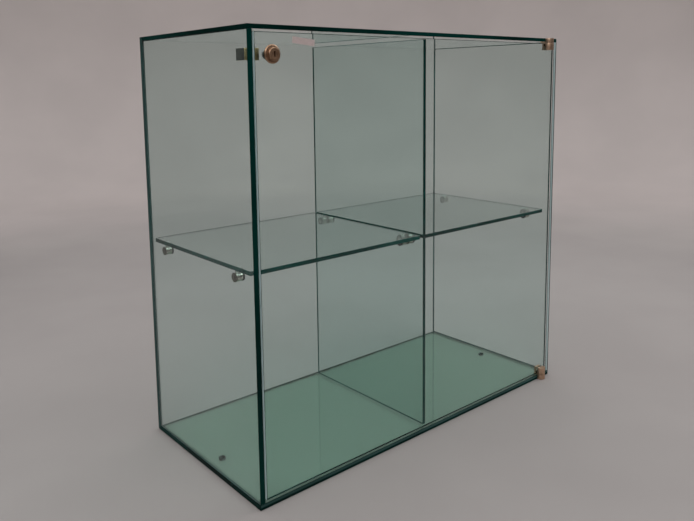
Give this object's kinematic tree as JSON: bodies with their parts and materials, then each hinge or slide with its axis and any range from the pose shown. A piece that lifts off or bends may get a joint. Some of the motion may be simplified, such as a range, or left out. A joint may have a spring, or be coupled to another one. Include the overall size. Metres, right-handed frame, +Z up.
{
  "type": "countertop glass display showcase with hinged door",
  "caption": "Frameless countertop glass showcase: upright divider, one loose shelf in each bay on bonded studs, and a full-width pivot-hinged front door with a cam lock.",
  "frame": {"origin": "centre of the base panel's underside, on the counter that the case stands on, midway between the side panels' outer faces and midway between the front edges and the back face", "axes": "+Z up; the door is on the -Y side; +X to the right as seen by somebody facing the door, so the hinges are at +X and the lock is at -X"},
  "size_m": [0.66, 0.31, 0.633],
  "materials": {
    "panel_glass": "clear polished float glass, green seen through its edges",
    "stud_nickel": "nickel plate",
    "black_rubber": "matte",
    "clear_vinyl": "soft translucent",
    "antique_bronze": "copper-bronze plate",
    "plain_steel": "zinc plated",
    "white_nylon": "matte",
    "satin_brass": "satin brass plate",
    "blank_label": "thin blank paper label"
  },
  "bodies": {
    "case": {"bottom_panel": "panel_glass", "top_panel": "panel_glass", "left_side_panel": "panel_glass", "right_side_panel": "panel_glass", "back_panel": "panel_glass", "centre_divider": "panel_glass", "left_stud_bases": "stud_nickel", "left_stud_bodies": "stud_nickel", "left_stud_rings": "black_rubber", "left_stud_pads": "clear_vinyl", "right_stud_bases": "stud_nickel", "right_stud_bodies": "stud_nickel", "right_stud_rings": "black_rubber", "right_stud_pads": "clear_vinyl", "top_hinge_bracket": "antique_bronze", "top_hinge_pin": "plain_steel", "bottom_hinge_bracket": "antique_bronze", "bottom_hinge_pin": "plain_steel", "strike_plate": "satin_brass"},
    "door": {"front_door": "panel_glass", "top_hinge_bush": "white_nylon", "top_hinge_clamp": "antique_bronze", "top_hinge_gaskets": "clear_vinyl", "top_hinge_screw": "plain_steel", "bottom_hinge_bush": "white_nylon", "bottom_hinge_clamp": "antique_bronze", "bottom_hinge_gaskets": "clear_vinyl", "bottom_hinge_screw": "plain_steel", "lock_barrel": "antique_bronze", "lock_gasket": "black_rubber", "lock_washer": "black_rubber", "lock_nut": "plain_steel", "door_label": "blank_label"},
    "lock_cylinder": {"lock_plug": "antique_bronze", "lock_cam": "plain_steel", "lock_cam_washer": "plain_steel", "lock_cam_screw": "plain_steel"},
    "left_shelf": {"left_shelf": "panel_glass"},
    "right_shelf": {"right_shelf": "panel_glass"}
  },
  "joints": [
    {"name": "door_hinge", "type": "hinge", "parent": "case", "child": "door", "pos_m": [0.303, -0.152, 0.3165], "axis": [0, 0, 1], "range_deg": [0, 110]},
    {"name": "lock_turn", "type": "hinge", "parent": "door", "child": "lock_cylinder", "pos_m": [-0.294, -0.15, 0.5967], "axis": [0, -1, 0], "range_deg": [0, 180]},
    {"name": "left_shelf_lift", "type": "slide", "parent": "case", "child": "left_shelf", "axis": [0, 0, 1], "range_m": [0, 0.06]},
    {"name": "right_shelf_lift", "type": "slide", "parent": "case", "child": "right_shelf", "axis": [0, 0, 1], "range_m": [0, 0.06]}
  ]
}
